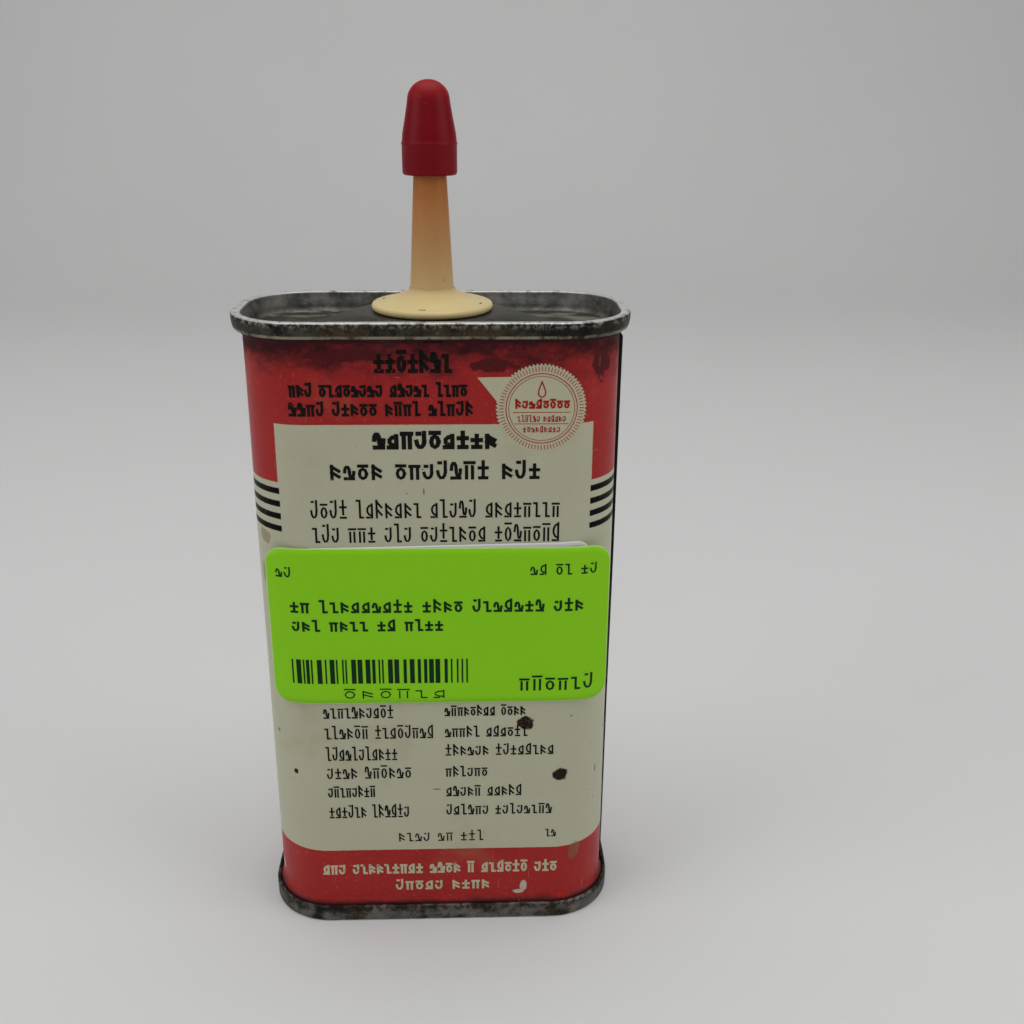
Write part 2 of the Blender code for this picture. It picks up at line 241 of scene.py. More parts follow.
def thicken(piece, thickness, offset=0.0):
    """Turns a surface into a sheet; offset 0 keeps it at the sheet's middle."""
    solidify = piece.modifiers.new("sheet", "SOLIDIFY")
    solidify.thickness = thickness
    solidify.offset = offset
    solidify.use_even_offset = True
    return piece


def add_wall_map(piece, arounds, ups):
    """A UV map holding each point's place on the wall in millimetres, without a jump at the back."""
    layer = piece.data.uv_layers.new(name="wall")
    for face in piece.data.polygons:
        values = [arounds[v] for v in face.vertices]
        wraps = max(values) - min(values) > GIRTH / 2
        for loop, vertex in zip(face.loop_indices, face.vertices):
            around = arounds[vertex]
            if wraps and around < 0:
                around += GIRTH
            layer.data[loop].uv = (around / MM, ups[vertex] / MM)


# ---- double seams ----


def layer_offset(count):
    """Offset of a folded sheet layer's middle, counted inward from the seam's outer wall."""
    return SEAM_PROUD - SHEET / 2 - count * FOLD


def cover_section(seam, flare=0.0):
    """An end's rolled edge as (offset, depth): from its hook's tip, over the rim, to its inner wall."""
    rim = 0.29 * MM
    section = [(layer_offset(2), 1.1 * MM)]
    section += arc((layer_offset(1), seam - SHEET / 2 - FOLD), FOLD, 180, 0, 8)
    low, high = section[-1][1], SHEET / 2 + rim
    for i in range(1, 6):
        share = i / 6
        section.append((layer_offset(0) + flare * share * (2 - share), low + (high - low) * share))
    section += arc((layer_offset(0) + flare - rim, high), rim, 0, -90, 6)
    section.append(((layer_offset(0) + flare + layer_offset(4)) / 2, SHEET / 2))
    section += arc((layer_offset(4) + rim, high), rim, -90, -180, 6)
    return section


def inner_wall(sink):
    """From the rim's inner edge down the sloping wall and a round foot to the panel, as (offset, depth)."""
    depth = sink + SHEET / 2
    foot = 1.1 * MM
    start = (layer_offset(4), 0.6 * MM)
    end = (-0.45 * MM, depth - foot)
    section = []
    for i in range(1, 5):
        share = i / 5
        section.append((start[0] + share * (end[0] - start[0]), start[1] + share * (end[1] - start[1])))
    section += arc((end[0] - foot, end[1]), foot, 0, 90, 7)
    return section


def body_section(seam):
    """The wall's folded edge as (offset, depth), from its hook's tip down to the plain wall."""
    crest = 0.58 * MM
    section = [(layer_offset(1), seam - 0.55 * MM)]
    section += arc((layer_offset(2), crest + FOLD), FOLD, 0, -180, 8)
    section.append((layer_offset(3), seam))
    for i in range(1, 6):
        share = i / 5
        offset = layer_offset(3) + ease(share) * (-SHEET / 2 - layer_offset(3))
        section.append((offset, seam + share * MM))
    return section


def ring_on_wall(offset, z, stray, ridge=0.0):
    """A ring round the tin at height z; stray(x, y, z) says how far it strays outward."""
    ring = []
    for around in COLUMNS:
        x, y = around_wall(around, 0.0)
        out = offset + stray(x, y, z) + ridge * ridge_share(around)
        ring.append((*around_wall(around, out), z))
    return ring


def oval_ring(half_width, half_depth, z):
    """An oval with one point on the bearing of each point of the tin's outline."""
    ring = []
    for around in COLUMNS:
        x, y = around_wall(around, 0.0)
        bearing = math.atan2(y / HALF_DEPTH, x / HALF_WIDTH)
        ring.append((half_width * math.cos(bearing), half_depth * math.sin(bearing), z))
    return ring


# ---- node materials ----


class Shader:
    """Builds a node material step by step. Each method returns the socket it made."""

    def __init__(self, name):
        self.material = bpy.data.materials.new(name)
        self.material.use_nodes = True
        self.tree = self.material.node_tree
        self.out = self.tree.nodes["Principled BSDF"]
        self.places = self.tree.nodes.new("ShaderNodeTexCoord").outputs["Object"]

    def plug(self, socket, value):
        if isinstance(value, bpy.types.NodeSocket):
            self.tree.links.new(value, socket)
        elif isinstance(value, tuple) and len(value) == 3 and socket.type == "RGBA":
            socket.default_value = (*value, 1.0)
        else:
            socket.default_value = value

    def set(self, **values):
        """Sets inputs of the Principled node; spaces in their names are written as _."""
        for name, value in values.items():
            self.plug(self.out.inputs[name.replace("_", " ")], value)

    def math(self, operation, a, b=0.0, c=0.0):
        node = self.tree.nodes.new("ShaderNodeMath")
        node.operation = operation
        for socket, value in zip(node.inputs, (a, b, c)):
            self.plug(socket, value)
        return node.outputs[0]

    def add(self, a, b):
        return self.math("ADD", a, b)

    def minus(self, a, b):
        return self.math("SUBTRACT", a, b)

    def size(self, a):
        return self.math("ABSOLUTE", a)

    def noise(self, scale, detail=3.0, roughness=0.55, stretch=None, distortion=0.0, seed=0.0):
        """Noise with scale bumps per metre, from 0 to 1."""
        vector = self.places
        if stretch or seed:
            mapping = self.tree.nodes.new("ShaderNodeMapping")
            self.plug(mapping.inputs["Vector"], self.places)
            mapping.inputs["Scale"].default_value = stretch or (1, 1, 1)
            mapping.inputs["Location"].default_value = (seed, seed * 1.7, seed * 2.3)
            vector = mapping.outputs[0]
        node = self.tree.nodes.new("ShaderNodeTexNoise")
        self.plug(node.inputs["Vector"], vector)
        node.inputs["Scale"].default_value = scale
        node.inputs["Detail"].default_value = detail
        node.inputs["Roughness"].default_value = roughness
        node.inputs["Distortion"].default_value = distortion
        return node.outputs["Fac"]

    def step(self, value, low, high):
        """0 below low and 1 above high, or the other way round when low is above high."""
        node = self.tree.nodes.new("ShaderNodeMapRange")
        node.interpolation_type = "SMOOTHSTEP"
        self.plug(node.inputs["Value"], value)
        flip = low > high
        node.inputs["From Min"].default_value = min(low, high)
        node.inputs["From Max"].default_value = max(low, high)
        node.inputs["To Min"].default_value = 1.0 if flip else 0.0
        node.inputs["To Max"].default_value = 0.0 if flip else 1.0
        return node.outputs["Result"]

    def mix(self, share, a, b, kind="RGBA", sockets=(6, 7, 2)):
        """From colour a to colour b as share goes from 0 to 1."""
        node = self.tree.nodes.new("ShaderNodeMix")
        node.data_type = kind
        a_input, b_input, output = sockets
        for index, value in ((0, share), (a_input, a), (b_input, b)):
            self.plug(node.inputs[index], value)
        return node.outputs[output]

    def blend(self, share, a, b):
        """Like mix, for plain values."""
        return self.mix(share, a, b, "FLOAT", (2, 3, 0))

    def coat(self, base, where, strength, colour):
        """base with a colour laid over it at some strength."""
        return self.mix(self.both(where, strength), base, colour)

    def both(self, a, b):
        return self.math("MULTIPLY", a, b)

    def either(self, a, b):
        return self.math("MAXIMUM", a, b)

    def axis(self, name):
        node = self.tree.nodes.new("ShaderNodeSeparateXYZ")
        self.plug(node.inputs[0], self.places)
        return node.outputs[name]

    def wall_place(self):
        """(around, up) in millimetres from the piece's wall map."""
        uv = self.tree.nodes.new("ShaderNodeUVMap")
        uv.uv_map = "wall"
        node = self.tree.nodes.new("ShaderNodeSeparateXYZ")
        self.plug(node.inputs[0], uv.outputs[0])
        return node.outputs["X"], node.outputs["Y"]

    def reach(self, sides):
        """Distance from a corner's centre; sides are (distance from the middle, half of the flat)."""
        far = []
        for distance, flat in sides:
            past = self.math("MAXIMUM", self.minus(distance, flat), 0.0)
            far.append(self.both(past, past))
        return self.math("SQRT", self.add(*far))

    def distance_from_edge(self):
        """Millimetres outside the tin's outline; negative inside it."""
        sides = [(self.size(self.axis(name)), flat) for name, flat in (("X", FLAT_X), ("Y", FLAT_Y))]
        return self.math("DIVIDE", self.minus(self.reach(sides), CORNER), MM)

    def rim_of(self, sticker, width):
        """1 within width of a label's cut edge, in millimetres, where its map gives the place."""
        around, up = self.wall_place()
        sides = []
        for place, low, high in (
            (around, sticker.left, sticker.right), (up, sticker.low, sticker.high),
        ):
            off = self.size(self.minus(place, (low + high) / 2 / MM))
            sides.append((off, ((high - low) / 2 - LABEL_CORNER) / MM))
        edge = LABEL_CORNER / MM - width
        return self.step(self.reach(sides), edge - EDGE / 2, edge + EDGE / 2)

    def past(self, value, line):
        """1 beyond a printed edge, 0 before it."""
        return self.step(value, line - EDGE, line + EDGE)

    def before(self, value, line):
        return self.step(value, line + EDGE, line - EDGE)

    def bump(self, height, distance, strength=1.0):
        node = self.tree.nodes.new("ShaderNodeBump")
        self.plug(node.inputs["Height"], height)
        node.inputs["Distance"].default_value = distance
        node.inputs["Strength"].default_value = strength
        self.plug(self.out.inputs["Normal"], node.outputs[0])


CREAM = (0.53, 0.51, 0.35)
RED = (0.38, 0.018, 0.018)
BLACK = (0.008, 0.008, 0.007)
RUST = (0.015, 0.008, 0.005)

# Layout of the print, in millimetres
PANEL_MIDDLE = 0.4
PANEL_HALF = 23.8
PANEL_TOP = 88.75
SIDE_RED_FOOT = 79.55
STRIPE_TOPS = (78.65, 76.6, 74.6, 72.6)
STRIPE_WIDTH = 0.97
STRIPE_TUCK = 0.15
BAND_TOP = 13.7
EDGE = 0.06

# (around, up, half width, half height) of single marks on the wall, in millimetres
RUST_SPOTS = ((14.3, 38.15, 1.2, 1.2), (20.1, 28.2, 1.2, 1.05), (-23.9, 28.75, 0.45, 0.45))
BROWN_SPOTS = ((23.0, 12.4, 1.0, 1.6), (-27.3, 70.1, 1.3, 1.1), (-28.5, 63.5, 0.5, 1.5))
DARK_SPOTS = ((25.6, 97.8, 1.6, 2.6), (9.0, 97.6, 3.2, 0.9), (-13.0, 99.2, 6.0, 1.0))
SCUFF_MARKS = (
    (-27.6, 35.3, 0.4, 0.3), (27.5, 26.9, 0.2, 0.7), (-0.4, 25.7, 0.6, 0.14), (-1.4, 78.3, 0.12, 0.5),
)
PALE_CHIPS = ((14.15, 5.9, 0.55, 0.9), (13.3, 4.6, 0.8, 0.35), (-30.0, 7.0, 0.4, 0.8))


def spot(shader, around, up, place, fuzz):
    """1 inside a ragged oval spot on the wall."""
    dx = shader.math("DIVIDE", shader.minus(around, place[0]), place[2])
    dy = shader.math("DIVIDE", shader.minus(up, place[1]), place[3])
    far = shader.math("SQRT", shader.add(shader.both(dx, dx), shader.both(dy, dy)))
    return shader.step(shader.add(far, fuzz), 1.25, 0.95)


def spots(shader, around, up, places, fuzz):
    share = 0.0
    for place in places:
        share = shader.either(spot(shader, around, up, place, fuzz), share)
    return share


def printed_tin():
    """Satin litho print on tinplate: cream panel, red fields, black stripes, grime, chips, rust, and a side
    seam strip painted dark for its bare metal and painted shade.
    """
    s = Shader("printed_tin")
    around, up = s.wall_place()
    shifted = s.minus(around, PANEL_MIDDLE)
    mirrored = s.math("PINGPONG", s.size(shifted), SIDE_MIDDLE / MM)
    waver = s.math("MULTIPLY_ADD", s.noise(1500, 2), 0.12, -0.06)
    across = s.add(mirrored, waver)
    height = s.add(up, waver)
    in_panel = s.both(s.before(across, PANEL_HALF), s.before(height, PANEL_TOP))
    low_side = s.before(height, SIDE_RED_FOOT)
    light = s.both(s.either(in_panel, low_side), s.past(height, BAND_TOP))
    stripes = 0.0
    for top in STRIPE_TOPS:
        band = s.both(s.past(height, top - STRIPE_WIDTH), s.before(height, top))
        stripes = s.either(band, stripes)
    stripes = s.both(stripes, s.past(across, PANEL_HALF - STRIPE_TUCK))

    cloudy = s.noise(90, 4)
    fine = s.noise(1400, 3)
    cream = s.mix(cloudy, (0.49, 0.48, 0.345), (0.53, 0.52, 0.38))
    cream = s.mix(s.step(fine, 0.62, 0.75), cream, (0.47, 0.45, 0.32))
    red = s.mix(cloudy, (0.31, 0.013, 0.013), (0.44, 0.027, 0.025))
    red = s.mix(s.step(s.noise(2200, 2), 0.60, 0.80), red, (0.52, 0.06, 0.055))
    colour = s.mix(light, red, cream)
    colour = s.mix(stripes, colour, (0.004, 0.004, 0.003))

    # grime under the top seam, and along the bottom seam
    cloud = s.noise(190, 6, 0.7, stretch=(1, 1, 1.7))
    thick = s.add(s.minus(up, WALL_TOP - 4.35), s.math("MULTIPLY_ADD", cloud, 14.0, -7.0))
    grime = s.both(s.step(thick, -2.8, 4.4), s.step(up, WALL_TOP - 11.5, WALL_TOP - 5))
    fuzz = s.math("MULTIPLY_ADD", s.noise(700, 5, 0.7), 2.0, -1.0)
    under_seam = s.step(s.math("MULTIPLY_ADD", cloud, 2.4, up), WALL_TOP - 0.95, WALL_TOP + 0.65)
    grime = s.either(s.either(grime, under_seam), s.both(spots(s, around, up, DARK_SPOTS, fuzz), 0.85))
    colour = s.coat(colour, grime, 0.92, (0.012, 0.004, 0.007))
    foot_thick = s.add(up, s.math("MULTIPLY", cloud, 2.4))
    foot_grime = s.step(foot_thick, WALL_FOOT + 2.3, WALL_FOOT + 1.1)
    colour = s.coat(colour, foot_grime, 0.8, (0.022, 0.012, 0.013))

    # stains and specks
    stain = s.both(s.step(s.noise(55, 4, 0.6, seed=3.0), 0.56, 0.76), 0.30)
    colour = s.mix(stain, colour, (0.30, 0.22, 0.10))
    specks = s.both(s.step(s.noise(900, 2, 0.5, seed=5.0), 0.74, 0.77), 0.7)
    colour = s.mix(specks, colour, (0.07, 0.05, 0.03))

    # scratches show pale on the print
    scratch_a = s.step(s.noise(650, 2, 0.4, stretch=(6, 6, 0.4), distortion=0.4, seed=7.0), 0.755, 0.775)
    scratch_b = s.step(s.noise(800, 2, 0.4, stretch=(0.6, 0.6, 5), distortion=0.5, seed=9.0), 0.765, 0.785)
    scratch = s.both(s.either(scratch_a, scratch_b), 0.35)
    colour = s.mix(scratch, colour, (0.46, 0.40, 0.33))

    # rust, brown stains and chipped print
    small_fuzz = s.math("MULTIPLY_ADD", s.noise(900, 3), 1.0, -0.5)
    brown = s.both(spots(s, around, up, BROWN_SPOTS, s.both(fuzz, 0.8)), 0.55)
    colour = s.mix(brown, colour, (0.20, 0.13, 0.06))
    scuffed = s.both(spots(s, around, up, SCUFF_MARKS, small_fuzz), 0.7)
    colour = s.mix(scuffed, colour, (0.08, 0.06, 0.035))
    rust = spots(s, around, up, RUST_SPOTS, small_fuzz)
    rust_colour = s.mix(s.step(s.noise(1800, 4), 0.50, 0.72), RUST, (0.085, 0.042, 0.02))
    colour = s.mix(rust, colour, rust_colour)
    pale = spots(s, around, up, PALE_CHIPS, small_fuzz)
    colour = s.mix(pale, colour, (0.52, 0.48, 0.40))

    # the side seam's strip painted near black, partly its bare metal and partly painted shade, and chips
    # along both double seams
    from_seam = s.size(s.minus(around, SIDE_MIDDLE / MM))
    bare_shaded_seam = s.step(s.add(from_seam, s.both(small_fuzz, 0.35)), 2.9, 2.7)
    low_bare = s.step(up, 75.0, 20.0)
    # near black at the top, with greyer patches lower down: bare metal with painted shade
    bare_shaded_colour = s.mix(s.both(s.step(cloud, 0.4, 0.6), low_bare), (0.012, 0.011, 0.011), (0.07, 0.068, 0.05))
    colour = s.mix(bare_shaded_seam, colour, bare_shaded_colour)
    chips = s.step(s.noise(420, 5, 0.7, seed=11.0), 0.70, 0.72)
    near_top = s.step(up, WALL_TOP - 2.5, WALL_TOP - 0.3)
    chips = s.both(chips, s.either(near_top, s.step(up, WALL_FOOT + 3, WALL_FOOT + 1)))
    colour = s.mix(chips, colour, (0.24, 0.22, 0.18))

    rough = s.blend(cloudy, 0.30, 0.44)
    rough = s.blend(s.either(s.either(rust, grime), bare_shaded_seam), rough, 0.75)
    s.set(Base_Color=colour, Roughness=rough, Metallic=s.both(chips, 0.7))
    s.set(Specular_IOR_Level=s.blend(s.either(bare_shaded_seam, stripes), 0.17, 0.04))
    s.set(Sheen_Weight=0.12, Sheen_Roughness=0.2)
    relief = s.add(s.both(s.noise(1100, 3), 0.25), s.both(rust, s.noise(2500, 3)))
    relief = s.minus(relief, s.both(s.either(scratch, pale), 0.8))
    s.bump(relief, 0.05 * MM, 0.6)
    return s.material


def worn_tinplate():
    """Dull, dirty tinplate with scratches and brown tarnish, crests painted pale for wear and as painted
    highlights, and painted highlights on the lid's panel.
    """
    s = Shader("worn_tinplate")
    z = s.axis("Z")
    far_out = s.distance_from_edge()
    patches = s.noise(220, 6, 0.7)
    fine = s.noise(1100, 5, 0.7, seed=16.0)
    blotch = s.noise(90, 4, 0.6, seed=2.0)
    streaks = s.noise(1300, 5, 0.65, stretch=(3.0, 3.0, 0.35), seed=4.0)
    base = s.mix(s.step(patches, 0.42, 0.70), (0.016, 0.014, 0.011), (0.085, 0.078, 0.060))
    base = s.coat(base, s.step(blotch, 0.46, 0.62), 0.55, (0.075, 0.048, 0.022))
    base = s.coat(base, s.step(streaks, 0.56, 0.72), 0.4, (0.22, 0.20, 0.15))
    dark = s.step(s.noise(500, 5, 0.65, seed=6.0), 0.50, 0.68)
    base = s.coat(base, dark, 0.8, (0.007, 0.006, 0.005))
    on_base = s.step(z, TIN_MIDDLE + MM, TIN_MIDDLE - MM)
    on_lid = s.step(z, TIN_MIDDLE - MM, TIN_MIDDLE + MM)

    # the bottom seam is rubbed paler in patches and sooty above; the top seam's upper part is speckled paler,
    # partly wear and partly painted highlight
    rubbed = s.both(on_base, s.step(patches, 0.38, 0.60))
    base = s.coat(base, rubbed, 0.75, (0.22, 0.20, 0.185))
    sooty = s.both(s.step(z, TIN_FOOT + 1.3 * MM, TIN_FOOT + 2.6 * MM), s.step(fine, 0.38, 0.60))
    base = s.coat(base, s.both(sooty, on_base), 0.85, (0.010, 0.009, 0.008))
    upper = s.step(z, TIN_TOP - 1.2 * MM, TIN_TOP - 0.2 * MM)
    speckle = s.both(upper, s.step(fine, 0.48, 0.58))
    base = s.coat(base, speckle, 0.6, (0.36, 0.36, 0.34))

    # the recess is cleaner: a grey inner wall; the pale patches near the panel's ends are painted highlights,
    # the top light reflected where the panel meets its wall
    inside = s.both(s.step(far_out, -0.9, -1.3), on_lid)
    clean = s.mix(patches, (0.05, 0.048, 0.036), (0.13, 0.126, 0.10))
    base = s.coat(base, inside, 0.7, clean)
    wall = s.both(s.step(far_out, 0.28, 0.18), s.step(far_out, -1.4, -0.9))
    wall_colour = s.mix(s.step(patches, 0.35, 0.65), (0.05, 0.05, 0.045), (0.22, 0.218, 0.20))
    base = s.coat(base, wall, 0.8, wall_colour)
    # painted highlights on the panel near its two ends
    ends = s.step(s.size(s.axis("X")), 12 * MM, 16 * MM)
    highlight_streaks = s.step(s.noise(200, 5, 0.7, stretch=(0.6, 1.6, 1), seed=12.0), 0.50, 0.60)
    panel_highlights = s.both(s.both(inside, ends), s.both(highlight_streaks, s.step(far_out, -7.0, -5.0)))
    base = s.coat(base, panel_highlights, 0.7, (0.42, 0.40, 0.32))

    # crests painted pale, partly wear and partly painted highlight, and a paler band along the top seam's
    # lower edge that is a painted highlight
    crest = s.either(
        s.step(z, TIN_TOP - 0.20 * MM, TIN_TOP - 0.03 * MM),
        s.step(z, TIN_FOOT + 0.25 * MM, TIN_FOOT + 0.05 * MM),
    )
    worn_and_lit = s.both(crest, s.step(s.add(fine, s.both(patches, 0.5)), 0.54, 0.74))
    base = s.coat(base, worn_and_lit, 0.9, (0.74, 0.73, 0.69))
    seam_foot = TIN_TOP - TOP_SEAM
    # a painted highlight line just above the top seam's lower edge
    band = s.both(
        s.step(z, seam_foot + 0.62 * MM, seam_foot + 0.40 * MM),
        s.step(s.noise(260, 5, 0.7, seed=14.0), 0.36, 0.56),
    )
    band = s.both(band, s.step(z, seam_foot - 0.4 * MM, seam_foot - 0.2 * MM))
    band = s.both(band, s.step(far_out, 0.8, 1.0))
    base = s.coat(base, band, 0.75, (0.34, 0.31, 0.22))
    rough = s.blend(patches, 0.34, 0.62)
    rough = s.blend(s.either(worn_and_lit, panel_highlights), rough, 0.3)
    dull = s.either(s.either(worn_and_lit, band), s.either(wall, panel_highlights))
    s.set(Base_Color=base, Metallic=s.blend(dull, 0.85, 0.5), Roughness=rough)
    relief = s.add(s.both(streaks, 0.6), s.both(dark, -0.5))
    s.bump(relief, 0.06 * MM, 0.7)
    return s.material


def aged_plastic():
    """Natural plastic, yellowed, with oil stains that deepen up the tube."""
    s = Shader("aged_plastic")
    z = s.axis("Z")
    up_tube = s.step(z, FLANGE_Z + 1.8 * MM, FLANGE_Z + 24.0 * MM)
    stain = s.noise(140, 4, 0.6, stretch=(1, 1, 0.35))
    pale = s.mix(s.noise(260, 4), (0.77, 0.64, 0.33), (0.68, 0.53, 0.25))
    deep = s.mix(stain, (0.39, 0.090, 0.016), (0.50, 0.17, 0.032))
    colour = s.mix(s.math("POWER", up_tube, 0.36), pale, deep)
    specks = s.both(s.step(s.noise(1300, 2, seed=5.0), 0.73, 0.77), 0.5)
    colour = s.mix(specks, colour, (0.25, 0.14, 0.06))
    s.set(Base_Color=colour, Roughness=s.blend(stain, 0.30, 0.45))
    s.set(Subsurface_Weight=0.15, Subsurface_Scale=0.0010, Specular_IOR_Level=0.2)
    s.set(Sheen_Weight=0.3, Sheen_Roughness=0.22, Sheen_Tint=(1.0, 0.85, 0.45))
    s.out.inputs["Subsurface Radius"].default_value = (1.0, 0.55, 0.25)
    s.bump(s.noise(900, 3, stretch=(1, 1, 0.3)), 0.03 * MM, 0.5)
    return s.material


def red_plastic():
    """Dark red moulded plastic with a faint sheen, dust, and a painted highlight that lightens its top."""
    s = Shader("red_plastic")
    cloud = s.noise(200, 4)
    colour = s.mix(cloud, (0.17, 0.0012, 0.006), (0.23, 0.002, 0.010))
    # the top 4 mm is painted a lighter red: a painted highlight from the top light
    lightened = s.both(s.step(s.axis("Z"), cap_high.z - 4.0 * MM, cap_high.z), 0.7)
    colour = s.mix(lightened, colour, (0.36, 0.012, 0.016))
    dust = s.both(s.step(s.noise(1500, 3, seed=3.0), 0.66, 0.8), 0.25)
    colour = s.mix(dust, colour, (0.42, 0.12, 0.11))
    s.set(Base_Color=colour, Roughness=s.blend(cloud, 0.36, 0.48))
    s.set(Specular_IOR_Level=0.14)
    s.set(Sheen_Weight=0.3, Sheen_Roughness=0.25, Sheen_Tint=(1.0, 0.12, 0.14))
    s.bump(s.noise(1200, 3), 0.025 * MM, 0.5)
    return s.material


def green_paper(sticker):
    """Fluorescent paper with a pale cut edge."""
    s = Shader("green_paper")
    fibres = s.noise(700, 5, 0.6, stretch=(1, 1, 2.5))
    cloud = s.noise(60, 3)
    colour = s.mix(fibres, (0.255, 0.66, 0.005), (0.285, 0.71, 0.008))
    colour = s.coat(colour, cloud, 0.25, (0.23, 0.58, 0.007))
    colour = s.coat(colour, s.rim_of(sticker, 0.13), 0.7, (0.62, 0.80, 0.40))
    s.set(Base_Color=colour, Roughness=0.5, Specular_IOR_Level=0.2)
    s.bump(fibres, 0.02 * MM, 0.4)
    return s.material


def pale_film(sticker):
    """Old label backing gone grey, painted white along its edge, partly torn paper and partly a painted
    highlight.
    """
    s = Shader("pale_film")
    fibres = s.noise(500, 5, 0.6)
    colour = s.mix(fibres, (0.56, 0.56, 0.52), (0.62, 0.615, 0.58))
    # white edge: torn paper plus a painted highlight
    torn_and_lit_edge = s.rim_of(sticker, 0.2)
    colour = s.mix(torn_and_lit_edge, colour, (0.80, 0.80, 0.76))
    s.set(Base_Color=colour, Roughness=0.35, Specular_IOR_Level=0.4)
    s.bump(fibres, 0.02 * MM, 0.4)
    return s.material


def ink(name, colour, worn_to, wear):
    """Printing ink; where it is worn, it shows the colour it lies on."""
    s = Shader(name)
    rub = s.step(s.noise(1500, 4, 0.65, seed=13.0), 0.72 - wear, 0.80 - wear)
    s.set(Base_Color=s.mix(rub, colour, worn_to), Roughness=0.5, Specular_IOR_Level=0.08)
    s.bump(s.noise(1500, 2), 0.01 * MM, 0.4)
    return s.material


def dull_solder():
    s = Shader("dull_solder")
    cloud = s.noise(400, 4)
    s.set(Base_Color=s.mix(cloud, (0.22, 0.22, 0.21), (0.42, 0.41, 0.39)), Metallic=0.9)
    s.set(Roughness=s.blend(cloud, 0.4, 0.6))
    return s.material


def dark_compound():
    s = Shader("dark_compound")
    cloud = s.noise(500, 4)
    s.set(Base_Color=s.mix(cloud, (0.06, 0.05, 0.04), (0.12, 0.10, 0.08)), Roughness=0.8)
    return s.material


def pale_floor():
    s = Shader("pale_floor")
    cloud = s.noise(6, 3)
    # darker near the tin and paler up the backdrop: a painted falloff of the light
    near = s.mix(cloud, (0.70, 0.70, 0.695), (0.73, 0.73, 0.725))
    back = s.mix(cloud, (0.82, 0.82, 0.815), (0.86, 0.86, 0.855))
    s.set(Base_Color=s.mix(s.step(s.axis("Y"), 0.45, 1.0), near, back), Roughness=0.6)
    return s.material


# ---- the tin ----


def ridge_height(z):
    """How proud the side seam's raised band stands at a height."""
    low, high = TIN_FOOT + BOTTOM_SEAM + RIDGE_MARGIN, TIN_TOP - TOP_SEAM - RIDGE_MARGIN
    share = (z - low) / (high - low)
    proud = RIDGE_PROUD_BOTTOM + share * (RIDGE_PROUD_TOP - RIDGE_PROUD_BOTTOM)
    return proud * clamp(min(z - low, high - z) / RIDGE_RAMP)


def make_wall(material):
    section = [(offset, TIN_FOOT + depth) for offset, depth in body_section(BOTTOM_SEAM)]
    plain_low = section[-1][1]
    top_part = [(offset, TIN_TOP - depth) for offset, depth in body_section(TOP_SEAM)]
    plain_high = top_part[-1][1]
    steps = 96
    section += [
        (-SHEET / 2, plain_low + (plain_high - plain_low) * i / steps) for i in range(1, steps)
    ]
    section += reversed(top_part)
    rings = [ring_on_wall(offset, z, wall_drift, ridge_height(z)) for offset, z in section]
    points, faces = loft(rings)
    wall = new_piece("tin_wall", points, faces, material, "can", ["can_body"])
    add_wall_map(wall, COLUMNS * len(rings), [p[2] for p in points])
    return thicken(wall, SHEET)


def make_lid(material):
    section = cover_section(TOP_SEAM, TOP_FLARE) + inner_wall(TOP_SINK)
    rings = [ring_on_wall(offset, TIN_TOP - depth, rim_dents) for offset, depth in section]
    panel_z = TIN_TOP - TOP_SINK - SHEET / 2
    seat_z = SEAT_Z - SHEET / 2
    steps = 14
    for i in range(steps + 1):
        share = i / steps
        half_width, half_depth = (half + share * (SEAT_RADIUS - half) for half in DOME)
        rings.append(oval_ring(half_width, half_depth, panel_z + ease(share) * (seat_z - panel_z)))
    for radius in (8.4 * MM, 7.3 * MM, HOLE_RADIUS + 0.15 * MM, HOLE_RADIUS):
        rings.append(oval_ring(radius, radius, seat_z))
    points, faces = loft(rings)
    lid = new_piece("tin_lid", points, faces, material, "can", ["top_end"])
    return thicken(lid, SHEET)


def make_base(material):
    section = cover_section(BOTTOM_SEAM) + inner_wall(BOTTOM_SINK)
    panel = BOTTOM_SINK + SHEET / 2
    step_out, step_rise = -3.6 * MM, 0.6 * MM
    section += [(-2.4 * MM, panel), (step_out, panel)]
    for i in range(1, 7):
        share = i / 6
        section.append((step_out - share * MM, panel + ease(share) * step_rise))
    section += [(-6.5 * MM, panel + step_rise), (-8.5 * MM, panel + step_rise)]
    rings = [ring_on_wall(offset, TIN_FOOT + depth, rim_dents) for offset, depth in section]
    points, faces = loft(rings, closed_end=True)
    base = new_piece("tin_base", points, faces, material, "can", ["bottom_end"])
    return thicken(base, SHEET)


# ---- turned plastic pieces ----


def profile(corners, z):
    """(radius, z) points in metres from corners in millimetres, whose heights count from z."""
    return [(radius * MM, z + up * MM) for radius, up in corners]


def smooth_profile(corners, steps):
    """A Catmull-Rom curve through (radius, z) corners."""
    points = []
    for i in range(len(corners) - 1):
        before = corners[max(i - 1, 0)]
        a, b = corners[i], corners[i + 1]
        after = corners[min(i + 2, len(corners) - 1)]
        for k in range(steps):
            t = k / steps
            point = []
            for w, x, y, z in zip(before, a, b, after):
                bend = (2 * w - 5 * x + 4 * y - z) * t * t + (3 * x - w - 3 * y + z) * t**3
                point.append(0.5 * (2 * x + (y - w) * t + bend))
            points.append(tuple(point))
    points.append(corners[-1])
    return points


def turned(outline, closed, steps=96):
    """Points and faces of an outline turned about the vertical axis; it may start and end on it."""
    points, rows = [], []
    for radius, z in outline:
        if radius < 1e-7:
            rows.append([len(points)] * steps)
            points.append((0.0, 0.0, z))
            continue
        rows.append(list(range(len(points), len(points) + steps)))
        for i in range(steps):
            angle = 2 * math.pi * i / steps
            points.append((radius * math.cos(angle), radius * math.sin(angle), z))
    faces = []
    pairs = [(i, i + 1) for i in range(len(rows) - 1)]
    if closed:
        pairs.append((len(rows) - 1, 0))
    for a, b in pairs:
        for i in range(steps):
            k = (i + 1) % steps
            faces.append(tuple(dict.fromkeys((rows[b][i], rows[b][k], rows[a][k], rows[a][i]))))
    return points, faces


